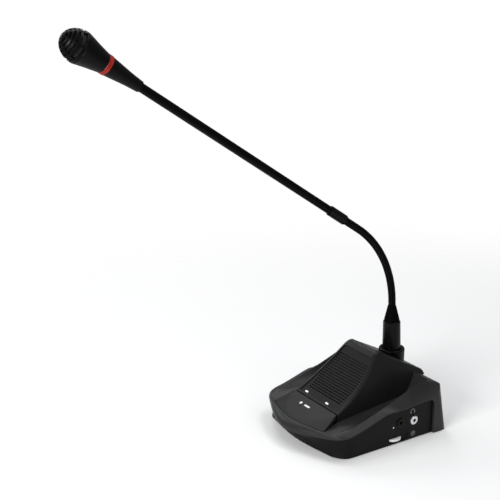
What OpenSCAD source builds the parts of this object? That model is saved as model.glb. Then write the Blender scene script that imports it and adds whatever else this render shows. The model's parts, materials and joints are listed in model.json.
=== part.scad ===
// Conference microphone unit: a low base with a speaker tower, a talk plate and a bendable arm
// The origin is on the table, straight below the microphone socket
// +X is the side with the jacks, -Y is the user's side and +Z is up

/* [Base] */
// Width over the outer rim
base_w = 132.8; // [124:0.2:150]
// Distance from the socket axis forward to the rim
front_reach = 137; // [130:1:150]
// Distance from the socket axis back to the foot of the rear wall
rear_reach = 21.4; // [19:0.1:26]
// How far the front edge bows forward
bow_depth = 14.1; // [8:0.1:17]
// Distance from the middle over which the bow flattens
bow_half = 25; // [20:1:40]
// Height of the crown edge at the front corner
crown_front_h = 26.2; // [25.5:0.1:32]
// Height of the crown edge at its highest place
crown_rear_h = 57.8; // [54:0.1:62]
// Distance of the crown edge in from the outer rim
crown_inset = 7.6; // [6:0.2:10]
// Height of the outer rim at the rear arch
rim_rear_h = 39.4; // [36:0.2:42]
// Drop of the rim from the arch to the front corner
rim_drop = 14.4; // [12:0.2:16]
// Height of the rear top edge
rear_edge_h = 51.3; // [47:0.1:54]
// Wall thickness of the mouldings
wall = 2.4; // [1.6:0.1:3]
// Distance that the skirt's foot lies behind the front rim
undercut = 15; // [8:0.5:20]
// Bow of the skirt's foot as a share of the front bow
foot_bow = 0.36; // [0.2:0.02:0.6]
// Height of the valley floor at the front
deck_h = 25.4; // [24:0.1:28]
// Rise of the valley floor towards the rear
deck_rise = 10.6; // [6:0.2:13]

/* [Tower] */
// Width of the tower at its foot
tower_w = 71; // [64:0.5:78]
// Height of the ridge
tower_h = 82.6; // [76:0.2:92]
// Height of the tower's front foot
tower_foot_h = 34; // [32:0.5:37]
// Distance from the front rim back to the tower's foot
foot_inset = 40; // [36:0.5:44]
// Distance from the socket axis forward to the ridge
ridge_front = 37.5; // [33:0.5:42]
// Slope of the roof in degrees
roof_angle = 27.8; // [24:0.2:30]
// Distance that the tower reaches behind the socket axis
tower_back = 17.2; // [15.5:0.1:20]
// Largest rounding of the tower's long edges
tower_round = 5; // [3:0.5:7]

/* [Grille] */
// Number of slots
slot_count = 17; // [10:1:20]
// Distance from slot to slot along the slope
slot_pitch = 3; // [2.4:0.1:3.6]
// Width of one slot
slot_w = 1.3; // [0.8:0.1:1.8]
// Width of the rim round the grille
grille_rim = 3; // [2.6:0.2:6]
// Thickness of the grille
grille_t = 2; // [1.2:0.1:3]
// Depth of the grille below the tower's face
grille_sink = 0.8; // [0.4:0.1:1.6]

/* [Talk plate] */
// Distance from the front rim back to the front of the talk plate
plate_inset = 7.8; // [7:0.2:12]
// Height of the front edge of the talk plate
plate_front_h = 25.5; // [24.6:0.1:28]
// Growth of the plate's width from the tower's foot to its front corners
plate_flare = 0.19; // [0:0.01:0.22]
// Radius across the top of the plate, which turns its front corners down
plate_camber = 205; // [180:5:600]
// Travel of the talk plate
plate_travel = 1; // [0.4:0.1:1.5]
// Gap round the talk plate
plate_gap = 0.5; // [0.4:0.1:1]

/* [Socket and plug] */
// Diameter of the socket collar
collar_d = 27; // [25:0.5:32]
// Height of the collar's level top
collar_h = 72; // [69:0.5:76]
// Diameter of the plug at its lower end
plug_d = 19; // [17:0.2:20]
// Height of the plug's shoulder
plug_top_h = 102; // [96:1:112]
// Length of the rubber boot above the shoulder
boot_l = 17.2; // [14:0.2:28]
// Forward lean of the plug in the play of its socket, in degrees
plug_lean = 2.2; // [0:0.1:2.6]
// Travel of the release button
latch_travel = 1.2; // [0.6:0.1:1.4]

/* [Arm] */
// Diameter of the bendable neck
neck_d = 7.8; // [7:0.1:9]
// Bend radius of the neck as it stands
neck_bend_r = 108.3; // [80:0.1:130]
// Angle through which the neck is bent as it stands
neck_bend_angle = 54.1; // [30:0.1:65]
// Straight end of the neck before the ferrule
neck_tail = 20.4; // [20:0.1:50]
// Diameter of the coupling ferrule
ferrule_d = 10.1; // [9:0.1:12]
// Length of the coupling ferrule
ferrule_l = 22; // [16:0.5:30]
// Diameter of the rigid tube
tube_d = 8; // [6.5:0.1:9]
// Length of the rigid tube from the ferrule to the sleeve
tube_l = 237.6; // [160:0.2:300]

/* [Head] */
// Length of the tapered sleeve
sleeve_l = 34; // [26:0.5:45]
// Diameter of the light ring
ring_d = 17.8; // [16:0.1:21]
// Length of the light ring
ring_l = 4; // [3:0.1:6]
// Diameter of the head at its widest
head_d = 28; // [24:0.1:34]
// Length of the cone between the ring and the dome
cone_l = 24; // [18:0.1:32]
// Length of the dome in front of the cone
dome_l = 17.5; // [12:0.5:22]
// Number of slotted rings on the dome
dome_slots = 6; // [3:1:8]

/* [Controls] */
// Diameter of the volume wheel
wheel_d = 18; // [14:0.5:20]
// Thickness of the volume wheel
wheel_t = 2; // [1.4:0.1:2.6]
// Distance that the wheel stands out of the side wall
wheel_proud = 2.6; // [1.4:0.1:2.8]
// Diameter of the jacks' rings
jack_d = 9.2; // [8:0.1:10.5]

/* [Hidden] */

$fn = 48;
eps = 0.01;
rim_x = base_w / 2;
rim_corner = 14.4;
foot_corner = 15;
crown_x = rim_x - crown_inset;
skin = wall + 0.2;
tower_front = front_reach - foot_inset;
plate_front = front_reach - plate_inset;
boot_top_h = plug_top_h + boot_l;
foot_z = 0.5;

// Steps along each stretch of a plan outline
front_steps = 12;
corner_steps = 5;
side_steps = 16;
rear_steps = 5;

arch_y = 2.2;
arch_h = 8;
arch_ys = [-6, -3.4, -1.6, -0.6, -0.2, 0];
arch_drops = [0, 0.05, 0.25, 0.5, 0.78, 1];
crown_rear_y = 3.5;
rear_edge_y = 12;

function clamp01(t) = max(0, min(1, t));
function smooth(t) = let (u = clamp01(t)) u * u * (3 - 2 * u);
function curve(a, b, c, t) = (1 - t) * (1 - t) * a + 2 * t * (1 - t) * b + t * t * c;
function bow(x) = bow_depth * (sqrt(1 + pow(x / bow_half, 2)) - 1);

// Heights of the crown edge, the rim and the valley floor along the base
crown_mid_y = -front_reach + 30;
crown_len = 90;
crown_slope = 0.255;
crown_bend = (crown_rear_h - 1.5 - crown_front_h - crown_slope * crown_len) / pow(crown_len, 2);
function crown_raw(y) = let (d = y - crown_mid_y)
    crown_front_h + (d < 0 ? 0.2 * d : crown_slope * d + crown_bend * d * d);
function crown_z(y) = min(crown_raw(y), crown_rear_h) - 3 * smooth((y + 8) / (crown_rear_y + 8));
function rim_raw(y) = rim_rear_h - rim_drop * pow(max(0, -8 - y) / 96, 1.6);
function rim_z(y) = max(rim_raw(y), crown_raw(min(y, -60)) - 2.5);
function edge_z(y) = rim_z(y) + (rear_edge_h - rim_rear_h) * smooth((y - 1) / (rear_edge_y - 1));
front_lift = 2;
function deck_z(y) = deck_h + deck_rise * (1 + y / (front_reach - 32))
    + front_lift * smooth((-front_reach + 22 - y) / 15);
function depth_share(y) = clamp01((crown_z(y) - deck_z(y)) / 22);

// Right half of a plan outline, from the front middle round to the rear middle
// w half width, yf and yr front and rear, rc rear corner, xc where the front corner starts
function half_plan(w, yf, yr, rc, xc, arch, flat) =
    let (y0 = yf + flat * bow(xc), y1 = y0 + 0.95 * (w - xc) + 4,
        y2 = arch ? arch_y + arch_ys[0] : yr - rc - 1)
    concat(
        [for (i = [0:front_steps - 1]) let (x = xc * i / front_steps) [x, yf + flat * bow(x)]],
        [for (i = [0:corner_steps])
            curve([xc, y0], [w, y0 + 0.45 * (w - xc)], [w, y1], i / corner_steps)],
        [for (i = [1:side_steps]) [w, y1 + (y2 - y1) * i / side_steps]],
        [for (i = [1:len(arch_ys) - 1])
            [w, arch ? arch_y + arch_ys[i] : y2 + i / len(arch_ys)]],
        [for (i = [0:corner_steps]) let (a = 90 * i / corner_steps)
            [w - rc + rc * cos(a), yr - rc + rc * sin(a)]],
        [for (i = [1:rear_steps]) [(w - rc) * (1 - i / rear_steps), yr]]);
function mirrored(h) = concat(h, [for (i = [len(h) - 2:-1:1]) [-h[i][0], h[i][1]]]);
function plan(w, yf, yr, rc, xc, arch = false, flat = 1) =
    mirrored(half_plan(w, yf, yr, rc, xc, arch, flat));

// Closed skin over a list of rings that all have the same number of points
function middle(r) = [for (k = [0:2]) (min([for (p = r) p[k]]) + max([for (p = r) p[k]])) / 2];
module skin_over(rings, closed) {
    n = len(rings[0]);
    m = len(rings);
    pts = [for (r = rings) for (p = r) p];
    sides = [for (j = [0:(closed ? m - 1 : m - 2)]) for (i = [0:n - 1])
        let (a = j * n + i, b = j * n + (i + 1) % n,
            c = ((j + 1) % m) * n + (i + 1) % n, d = ((j + 1) % m) * n + i)
        each [[a, c, d], [a, b, c]]];
    caps = closed ? [] : [for (i = [0:n - 1]) let (k = (i + 1) % n)
        each [[k, i, m * n], [(m - 1) * n + i, (m - 1) * n + k, m * n + 1]]];
    ends = closed ? [] : [middle(rings[0]), middle(rings[m - 1])];
    polyhedron(points = concat(pts, ends), faces = concat(sides, caps), convexity = 8);
}

// Lower edge of the cover: it follows the rim and drops to the table behind the arch
function drop_share(y) = y >= arch_y - eps ? 1 : y <= arch_y + arch_ys[0] ? 0
    : lookup(y - arch_y, [for (i = [0:len(arch_ys) - 1]) [arch_ys[i], arch_drops[i]]]);
function low_z(y) = let (s = drop_share(y), top = rim_z(y) - 1.2)
    s >= 1 ? foot_z : top - s * arch_h;

tower_x = tower_w / 2;
lip_x = tower_x + 0.3;
lip_front = -plate_front - plate_gap;
plate_rear = tower_front + 1.7;

// The talk plate and its opening widen towards their front corners
function flare(y) = 1 + plate_flare * clamp01((-y - plate_rear) / (plate_front - plate_rear - 11));
function flared(pl) = [for (p = pl) [p[0] * flare(p[1]), p[1]]];

function ring_of(pl, h) = [for (p = pl) [p[0], p[1], h(p[1])]];

module top_cover() {
    lip = flared(plan(lip_x, lip_front, -16, 4, lip_x - 1.6));
    toe = plan(crown_x - 10.3, -front_reach + 4.5, -9, 6, crown_x - 14, false, 0.9);
    wall_mid = plan(crown_x - 4, -front_reach + 1.6, -2, 8, crown_x - 8);
    crown = plan(crown_x, -front_reach, crown_rear_y, 9, crown_x - 4.4);
    rim = plan(rim_x, -front_reach - 0.6, rear_edge_y, 7, rim_x - rim_corner, true);
    hem = plan(rim_x, -front_reach - 0.3, rear_reach, 7, rim_x - rim_corner, true);
    hem_in = plan(rim_x - skin, -front_reach - 0.3 + skin, rear_reach - wall, 5,
        rim_x - 16, true);
    rim_in = plan(rim_x - skin, -front_reach - 0.6 + skin, rear_edge_y - wall, 5,
        rim_x - 16, true);
    crown_in = plan(crown_x - 1, -front_reach + 3.6, crown_rear_y - 0.5, 8, crown_x - 6);
    mid_in = plan(crown_x - 2.4, -front_reach + 4.4, 0.4, 8, crown_x - 7);
    toe_in = plan(crown_x - 9.2, -front_reach + 5.2, -7.6, 6, crown_x - 13, false, 0.88);
    color([0.11, 0.11, 0.12])
    difference() {
        skin_over([
            ring_of(lip, function (y) deck_z(y)),
            ring_of(toe, function (y) deck_z(y) + 0.06 * (crown_z(y) - deck_z(y))),
            ring_of(wall_mid, function (y) deck_z(y) + 0.45 * (crown_z(y) - deck_z(y))),
            ring_of(crown, function (y) crown_z(y)),
            ring_of(rim, function (y) edge_z(y)),
            ring_of(hem, function (y) low_z(y)),
            ring_of(hem_in, function (y) low_z(y)),
            ring_of(rim_in, function (y) edge_z(y) - 0.9),
            ring_of(crown_in, function (y) crown_z(y) - wall - 7 * depth_share(y)),
            ring_of(mid_in, function (y)
                deck_z(y) + 0.45 * (crown_z(y) - deck_z(y)) - wall - 1.4 * depth_share(y)),
            ring_of(toe_in, function (y) deck_z(y) - wall),
            ring_of(lip, function (y) deck_z(y) - wall)], true);
        tower_block();
        link_socket_holes();
        translate([0, 0, rear_seat_z]) cylinder(h = tower_h, r = collar_r + 0.1);
    }
}

module lower_housing() {
    top_y = rear_edge_y - 1.4;
    top_corner_x = rim_x - rim_corner - 2.2;
    seat = 1.7;
    mid_share = 0.45;
    outer_top = plan(housing_x, -front_reach + skin + 0.2, top_y, 5, top_corner_x, true);
    outer_low = plan(housing_x, -front_reach + undercut, housing_rear, 5.4, foot_corner_x, true, foot_bow);
    mid_y = housing_rear + mid_share * (top_y - housing_rear);
    mid_corner_x = foot_corner_x - 5;
    outer_mid = plan(housing_x, -front_reach + undercut - 2.5, mid_y, 5.4,
        mid_corner_x, true, foot_bow + 0.2);
    inner_mid = plan(housing_x - skirt_t, -front_reach + undercut - 2.5 + skirt_t,
        mid_y - skirt_t, 4, mid_corner_x - 1.6, true, foot_bow + 0.2);
    inner_low = plan(housing_x - skirt_t, -front_reach + undercut + skirt_t,
        housing_rear - skirt_t, 4, foot_corner_x - 1.6, true, foot_bow);
    inner_top = plan(housing_x - skirt_t, -front_reach + skin + 0.2 + skirt_t,
        top_y - skirt_t, 4, top_corner_x - 1.6, true);
    color([0.05, 0.05, 0.055])
    difference() {
        skin_over([
            ring_of(outer_low, function (y) foot_z),
            ring_of(inner_low, function (y) foot_z),
            ring_of(inner_mid, function (y) foot_z + mid_share * (rim_z(y) - seat - foot_z)),
            ring_of(inner_top, function (y) rim_z(y) - seat),
            ring_of(outer_top, function (y) rim_z(y) - seat),
            ring_of(outer_mid, function (y) foot_z + mid_share * (rim_z(y) - seat - foot_z))], true);
        link_window();
        wheel_opening();
        at_jack(ringed_jack_y, ringed_jack_z) cylinder(h = 8, r = jack_barrel_r + 0.1, center = true);
        at_jack(dark_jack_y, dark_jack_z) cylinder(h = 8, r = jack_barrel_r + 0.1, center = true);
    }
}

// Base floor, its weight and what it stands on
skirt_t = 2;
floor_t = 2;
floor_top = foot_z + floor_t;
housing_x = rim_x - skin - 0.2;
housing_rear = rear_reach - wall - 0.4;
foot_corner_x = rim_x - foot_corner;
floor_x = housing_x - skirt_t - 0.2;
floor_front = -front_reach + undercut + skirt_t + 0.2;
floor_rear = housing_rear - skirt_t - 0.3 * floor_t - 0.2;
strip_sink = 0.8;
rear_strip = [0.7 * base_w, 11];
front_strip = [0.63 * base_w, 9];
front_strip_y = floor_front + 12;
boss_x = rim_x - rim_corner;
boss_ys = [-front_reach + 45, -2];
boss_r = 3.4;
screw_r = 1.4;

module rounded_bar(l, w, h) {
    linear_extrude(h) {
        square([l - w, w], center = true);
        for (s = [-1, 1]) translate([s * (l - w) / 2, 0]) circle(d = w);
    }
}

module strip_bars(grow) {
    rounded_bar(rear_strip[0] + grow, rear_strip[1] + grow, foot_z + strip_sink);
    translate([0, front_strip_y, 0])
        rounded_bar(front_strip[0] + grow, front_strip[1] + grow, foot_z + strip_sink);
}

module rubber_strips() {
    color([0.09, 0.09, 0.09]) strip_bars(0);
}

module at_bosses() {
    for (s = [-1, 1]) for (y = boss_ys) translate([s * boss_x, y, 0]) children();
}

module bottom_plate() {
    color([0.07, 0.07, 0.075])
    difference() {
        union() {
            translate([0, 0, foot_z]) linear_extrude(floor_t)
                polygon(plan(floor_x, floor_front, floor_rear, 4, foot_corner_x - 1.8, false, foot_bow));
            at_bosses() translate([0, 0, floor_top - eps])
                cylinder(h = board_z - floor_top + eps, r = boss_r);
        }
        strip_bars(0);
        at_bosses() {
            cylinder(h = board_z + 1, r = screw_r + 0.04);
            cylinder(h = foot_z + screw_head_t + 0.2, r = screw_head_r + 0.2);
        }
    }
}

screw_head_r = 2.8;
screw_head_t = 1;
screw_l = 9;
cross = [3.4, 0.8, 0.9];
module base_screws() {
    color([0.6, 0.6, 0.62])
    at_bosses() difference() {
        translate([0, 0, foot_z + 0.2]) {
            cylinder(h = screw_head_t, r = screw_head_r);
            cylinder(h = screw_l, r = screw_r);
        }
        for (a = [0, 90]) rotate([0, 0, a]) translate([-cross[0] / 2, -cross[1] / 2, foot_z]) cube(cross);
    }
}

ballast_t = 5;
ballast_gap = 8;
ballast_x = boss_x - ballast_gap;
ballast_rear = -4;
module ballast_plate() {
    color([0.45, 0.46, 0.48])
    translate([-ballast_x, floor_front + ballast_gap, floor_top])
        cube([2 * ballast_x, ballast_rear - floor_front - ballast_gap, ballast_t]);
}

// Circuit board and what stands on it
board_z = 14;
board_t = 1.6;
board_top = board_z + board_t;
board_x = rim_x - 8.4;
board_inset = 37;
board_front = -front_reach + board_inset;
board_rear = 8;
module circuit_board() {
    color([0.05, 0.27, 0.14])
    difference() {
        translate([-board_x, board_front, board_z]) cube([2 * board_x, board_rear - board_front, board_t]);
        translate([wheel_x, wheel_y, 0]) cylinder(h = board_top + 1, r = shaft_r + 0.2);
    }
}

// Each chip: place of its corner as a share of the board, and its size
chips = [[-0.52, 0.56, [14, 14, 1.6]], [0.14, 0.61, [10, 8, 1.4]], [-0.2, 0.74, [12, 6, 3]]];
can_xs = [-0.79, -0.66, 0.41, 0.59];
can_r = 3;
can_h = 7;
module board_parts() {
    board_l = board_rear - board_front;
    color([0.06, 0.06, 0.06]) {
        for (c = chips) translate([c[0] * board_x, board_front + c[1] * board_l, board_top]) cube(c[2]);
        for (x = can_xs) translate([x * board_x, board_front + 0.8 * board_l, board_top])
            cylinder(h = can_h, r = can_r);
    }
}

// Side wall controls on the right
ringed_jack_y = -22.8;
ringed_jack_z = 20.5;
dark_jack_y = -40;
dark_jack_z = 22;
jack_barrel_r = 3.6;
jack_hole_r = 1.8;
module at_jack(y, z) {
    translate([housing_x, y, z]) rotate([0, 90, 0]) children();
}

jack_block_l = 13.4;
jack_block_w = 10;
module jack(y, z, bezel) {
    difference() {
        union() {
            at_jack(y, z) {
                translate([0, 0, 0.05]) cylinder(h = 0.9, r = jack_d / 2);
                translate([0, 0, 0.9]) cylinder(h = bezel, r1 = jack_d / 2, r2 = jack_d / 2 - 0.8);
                translate([0, 0, -4]) cylinder(h = 4.2, r = jack_barrel_r);
            }
            translate([housing_x - 3.6 - jack_block_l, y - jack_block_w / 2, board_top])
                cube([jack_block_l, jack_block_w, z - board_top + jack_block_w / 2]);
        }
        at_jack(y, z) translate([0, 0, -15]) cylinder(h = 20, r = jack_hole_r);
    }
}

module ringed_jack() {
    color([0.72, 0.73, 0.75]) jack(ringed_jack_y, ringed_jack_z, 0.5);
}
module dark_jack() {
    color([0.06, 0.06, 0.065]) jack(dark_jack_y, dark_jack_z, 0.3);
}

// Volume wheel lying flat behind an oval dish in the side wall
wheel_y = -45;
wheel_z = 4;
wheel_r = wheel_d / 2;
wheel_x = housing_x + wheel_proud - wheel_r;
shaft_r = 1.5;
shaft_gap = 0.06;
dish = [26, 9];
dish_y = -42.5;
dish_z = 6.5;
module wheel_opening() {
    translate([housing_x - 0.8, dish_y, dish_z]) rotate([90, 0, 90]) rounded_bar(dish[0], dish[1], 4);
    chord = 2 * sqrt(pow(wheel_r + 0.5, 2) - pow(wheel_r - wheel_proud - skirt_t, 2));
    translate([housing_x - 4, wheel_y - chord / 2, wheel_z - 0.6]) cube([6, chord, wheel_t + 1.2]);
}

module volume_wheel() {
    color([0.82, 0.82, 0.8])
    translate([wheel_x, wheel_y, wheel_z]) difference() {
        cylinder(h = wheel_t, r = wheel_r);
        translate([0, 0, -1]) cylinder(h = wheel_t + 2, r = shaft_r + shaft_gap);
        for (i = [0:35]) rotate([0, 0, 10 * i]) translate([wheel_r, 0, -1])
            cylinder(h = wheel_t + 2, r = 0.4, $fn = 12);
    }
}

pot_w = 8;
module volume_pot() {
    color([0.16, 0.16, 0.18])
    translate([wheel_x, wheel_y, 0]) {
        translate([-pot_w / 2, -pot_w / 2, wheel_z + wheel_t + 0.5])
            cube([pot_w, pot_w, board_z - wheel_z - wheel_t - 0.5]);
        translate([0, 0, floor_top]) cylinder(h = board_top - floor_top, r = shaft_r);
    }
}

// Two sockets in the rear wall that link one unit to the next
link_x = 18;
link_w = 15;
link_h = 13;
link_l = 18;
link_face_y = 15;
link_hole = [11.7, 8];
link_depth = 13;
latch_slot = 6;
module at_links() {
    for (s = [-1, 1]) translate([s * link_x, 0, 0]) children();
}
module link_socket_holes() {
    at_links() translate([-link_w / 2 - 0.2, 2, board_top - 0.2])
        cube([link_w + 0.4, rear_reach, link_h + 0.4]);
}
// The housing's rear wall is open round both sockets
module link_window() {
    half = link_x + link_w / 2 + 0.6;
    translate([-half, 2, board_top - 0.2]) cube([2 * half, rear_reach, rim_rear_h]);
}
module link_sockets() {
    color([0.08, 0.08, 0.085])
    at_links() difference() {
        translate([-link_w / 2, link_face_y - link_l, board_top]) cube([link_w, link_l, link_h]);
        translate([-link_hole[0] / 2, link_face_y - link_depth, board_top + 2.6])
            cube([link_hole[0], link_depth + 1, link_hole[1]]);
        translate([-latch_slot / 2, link_face_y - link_depth, board_top + 1])
            cube([latch_slot, link_depth + 1, 3]);
    }
}

// Tower: front curve from the foot to the ridge, rounded ridge and straight roof
face_c = [-ridge_front - 6, tower_h - 3];
face_a = [-tower_front, tower_foot_h];
face_b = face_a + [0.551 * (face_c[0] - face_a[0]), 0.333 * (face_c[1] - face_a[1])];
face_v0 = 2 * norm(face_b - face_a);
face_v1 = 2 * norm(face_c - face_b);
function face_pt(t) = curve(face_a, face_b, face_c, t);
function face_dir(t) = let (d = (1 - t) * (face_b - face_a) + t * (face_c - face_b)) d / norm(d);
function face_tilt(t) = atan2(face_dir(t)[1], face_dir(t)[0]);
function face_out(t) = [-face_dir(t)[1], face_dir(t)[0]];
function face_at(s) = (-face_v0 + sqrt(face_v0 * face_v0 + 2 * (face_v1 - face_v0) * s))
    / (face_v1 - face_v0);
face_len = (face_v0 + face_v1) / 2;
function roof_z(y) = tower_h - tan(roof_angle) * (y + ridge_front);
tower_tops = concat(
    [for (i = [0:13]) face_pt(i / 13)],
    [[-ridge_front - 4, tower_h - 1.3], [-ridge_front - 2, tower_h - 0.35],
        [-ridge_front, tower_h], [-ridge_front + 1.8, tower_h - 0.6]],
    [for (i = [0:5]) let (y = -ridge_front + 3.6 + i * (tower_back - 2.2 + ridge_front - 3.6) / 5)
        [y, roof_z(y)]],
    [[tower_back - 0.8, roof_z(tower_back - 0.8) - 0.4], [tower_back, roof_z(tower_back) - 1.6]]);

function tower_share(z) = clamp01((z - tower_foot_h) / (tower_h - tower_foot_h));
function half_w(z) = let (u = tower_share(z)) tower_x * (1 - 0.135 * u - 0.24 * u * u);
function edge_round(y) = 1.2 + (tower_round - 1.2) * clamp01((y + tower_front) / 55);
tower_sink = 5;
rear_seat_z = 49.5;

// One cross-section of the tower, drawn in by the distance t
function tower_section(y, zt, t) =
    let (zb = deck_z(y) - tower_sink - t, top = zt - 1.3 * t, r = max(0.8, edge_round(y) - 0.6 * t),
        zs = top - r,
        h = concat(
            [for (k = [0:4]) let (z = zb + (zs - zb) * k / 4) [half_w(z) - t, z]],
            [for (k = [1:5]) [half_w(zs) - t - r + r * cos(18 * k), zs + r * sin(18 * k)]]))
    concat([for (p = h) [p[0], y, p[1]]],
        [for (i = [len(h) - 1:-1:0]) [-h[i][0], y, h[i][1]]]);

module tower_block() {
    difference() {
        skin_over([for (p = tower_tops) tower_section(p[0], p[1], 0)], false);
        translate([-tower_x - 1, crown_rear_y - 0.5, 0]) cube([tower_w + 2, 30, rear_seat_z]);
    }
}

hollow_rear = 8.5;
module tower_hollow() {
    inner = [for (p = tower_tops) if (p[0] > -tower_front + wall && p[0] < hollow_rear - 3) p];
    start = [-tower_front + wall, inner[0][1] - 0.55 * (inner[0][0] + tower_front - wall)];
    skin_over([for (p = concat([start], inner, [[hollow_rear, roof_z(hollow_rear)]]))
        tower_section(p[0], p[1], wall)], false);
}

// Strip that follows the tower's front between two depths, drawn in by m at both sides
module face_strip(s0, s1, d0, d1, m) {
    n = 16;
    ts = [for (i = [0:n]) face_at(s0 + (s1 - s0) * i / n)];
    outer = [for (t = ts) face_pt(t) - d0 * face_out(t)];
    inner = [for (i = [n:-1:0]) face_pt(ts[i]) - d1 * face_out(ts[i])];
    side = [for (k = [0:8]) let (z = tower_foot_h - 8 + (tower_h - tower_foot_h + 8) * k / 8)
        [half_w(z) - m, z]];
    intersection() {
        translate([-tower_x, 0, 0]) rotate([90, 0, 90]) linear_extrude(tower_w)
            polygon(concat(outer, inner));
        translate([0, 10, 0]) rotate([90, 0, 0]) linear_extrude(tower_front + 30)
            polygon(concat(side, [for (k = [8:-1:0]) [-side[k][0], side[k][1]]]));
    }
}

grille_s0 = 2.4;
grille_s1 = face_len - 3;
module tower_shell() {
    color([0.1, 0.1, 0.11])
    difference() {
        tower_block();
        tower_hollow();
        face_strip(grille_s0, grille_s1, -2, grille_sink + grille_t, grille_rim);
        face_strip(grille_s0 + 1.6, grille_s1 - 1.6, 0, wall + 6, grille_rim + 1.6);
        cylinder(h = tower_h, r = collar_d / 2);
    }
}

module at_face(t, d = 0) {
    p = face_pt(t) + d * face_out(t);
    translate([0, p[0], p[1]]) rotate([face_tilt(t), 0, 0]) children();
}

lens_xs = [-22.4, 11.8];
lens_s = 4.6;
lens = [4.4, 1.8];
lens_seat = 0.06;
module lens_shapes(grow) {
    for (x = lens_xs) at_face(face_at(lens_s), -grille_sink - grille_t)
        translate([x, 0, lens_seat - 2 * grow]) rounded_bar(lens[0], lens[1], grille_t + 0.25 + 3 * grow);
}

slot_first = 11.5;
slot_taper = 4.6;
module grille_panel() {
    color([0.12, 0.12, 0.13])
    difference() {
        face_strip(grille_s0, grille_s1, grille_sink, grille_sink + grille_t, grille_rim);
        for (i = [0:slot_count - 1]) {
            t = face_at(slot_first + slot_pitch * i);
            u = i / (slot_count - 1);
            l = 2 * (half_w(face_pt(t)[1]) - grille_rim - 1 - slot_taper * pow(1 - u, 2));
            at_face(t, -grille_sink - grille_t) translate([0, 0, -1]) rounded_bar(l, slot_w, grille_t + 2);
        }
        lens_shapes(0.2);
    }
}

module indicator_lenses() {
    color([0.9, 0.9, 0.92]) lens_shapes(0);
}

cloth_t = 0.4;
module speaker_cloth() {
    behind = grille_sink + grille_t + 0.04;
    color([0.03, 0.03, 0.03])
    face_strip(slot_first - 3, grille_s1 - 2, behind, behind + cloth_t, grille_rim + 2);
}

// Speaker on a sloping baffle behind the grille
baffle_d = 8.5;
baffle_t = 2;
baffle_l = 46;
speaker_r = 21;
cone_depth = 7;
basket_depth = 12;
basket_r = 11;
function baffle_x(e) = half_w(face_pt(0.5)[1] + e * sin(face_tilt(0.5)) - baffle_d) - wall - 0.3;
module at_speaker() {
    at_face(0.5, -baffle_d) children();
}
module speaker_baffle() {
    color([0.08, 0.08, 0.09])
    at_speaker() difference() {
        translate([0, 0, -baffle_t]) linear_extrude(baffle_t)
            polygon([[-baffle_x(-baffle_l / 2), -baffle_l / 2], [baffle_x(-baffle_l / 2), -baffle_l / 2],
                [baffle_x(baffle_l / 2), baffle_l / 2], [-baffle_x(baffle_l / 2), baffle_l / 2]]);
        translate([0, 0, -baffle_t - 1]) cylinder(h = baffle_t + 2, r = speaker_r - 2.5);
    }
}

module speaker_frame() {
    color([0.35, 0.36, 0.38])
    at_speaker() translate([0, 0, -baffle_t]) rotate_extrude()
        polygon([[speaker_r - 3, 0], [speaker_r, 0], [speaker_r, -1.2], [speaker_r - 1.5, -1.2],
            [basket_r, -basket_depth], [basket_r - 5, -basket_depth], [basket_r - 5, 1 - basket_depth],
            [basket_r - 0.6, 1 - basket_depth]]);
}
module speaker_cone() {
    color([0.05, 0.05, 0.055])
    at_speaker() translate([0, 0, -baffle_t]) rotate_extrude()
        polygon([[0, -cone_depth + 1.6], [4, -cone_depth + 0.6], [5, -cone_depth - 0.8],
            [speaker_r - 5.6, -0.6], [speaker_r - 3.9, -0.1], [speaker_r - 3.9, -0.7],
            [speaker_r - 5.6, -1.2], [5.4, -10.9], [4.6, -10.9], [3.6, -cone_depth], [0, -cone_depth + 1]]);
}
module speaker_magnet() {
    color([0.3, 0.3, 0.32])
    at_speaker() translate([0, 0, -baffle_t - basket_depth]) {
        translate([0, 0, -2]) cylinder(h = 2, r = 12);
        translate([0, 0, -9]) cylinder(h = 7, r = 13.5);
        translate([0, 0, -11]) cylinder(h = 2, r = 12);
        translate([0, 0, -2.5]) cylinder(h = 4, r = 3.2);
    }
}

// Talk plate on a rubber mat with dome switches under it
plate_t = 2.2;
plate_x = tower_x - 0.2;
plate_tilt = atan2(tower_foot_h - plate_front_h, plate_front - plate_rear);
plate_skirt = 5.5;
plate_corner = 2.4;
camber_rise = 3.2;
camber_drop = 0.3;
camber_tilt = atan2(tower_foot_h + camber_rise - plate_front_h + camber_drop, plate_front - plate_rear);
plate_y = -plate_rear;
function plate_z(y) = tower_foot_h + (y + plate_rear) * tan(plate_tilt);

// Right half of the plate's outline drawn in by t, with a rounded front corner
function plate_half(t) =
    let (w = plate_x - t, xc = w - plate_corner, yf = -plate_front + t, y0 = yf + bow(xc))
    concat([for (i = [0:9]) let (x = xc * i / 10) [x, yf + bow(x)]],
        [for (i = [0:4]) curve([xc, y0], [w, yf + bow(w) - 0.4], [w, y0 + 2 * plate_corner + 1], i / 4)],
        [[w, plate_y - t], [0, plate_y - t]]);
module camber(depth) {
    translate([0, -plate_front, plate_front_h - camber_drop]) rotate([camber_tilt, 0, 0])
        translate([0, 0, -plate_camber]) rotate([90, 0, 0])
            cylinder(h = 2 * tower_w, r = plate_camber - depth, center = true, $fn = 240);
}
module plate_slab(top_d, bottom_d, t) {
    len_y = plate_front - plate_rear;
    intersection() {
        linear_extrude(tower_h) polygon(flared(mirrored(plate_half(t))));
        translate([-tower_w, -plate_rear, tower_foot_h]) rotate([plate_tilt, 0, 0])
            translate([0, -len_y - 20, -bottom_d]) cube([2 * tower_w, len_y + 30, bottom_d - top_d]);
        camber(top_d);
    }
}
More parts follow.
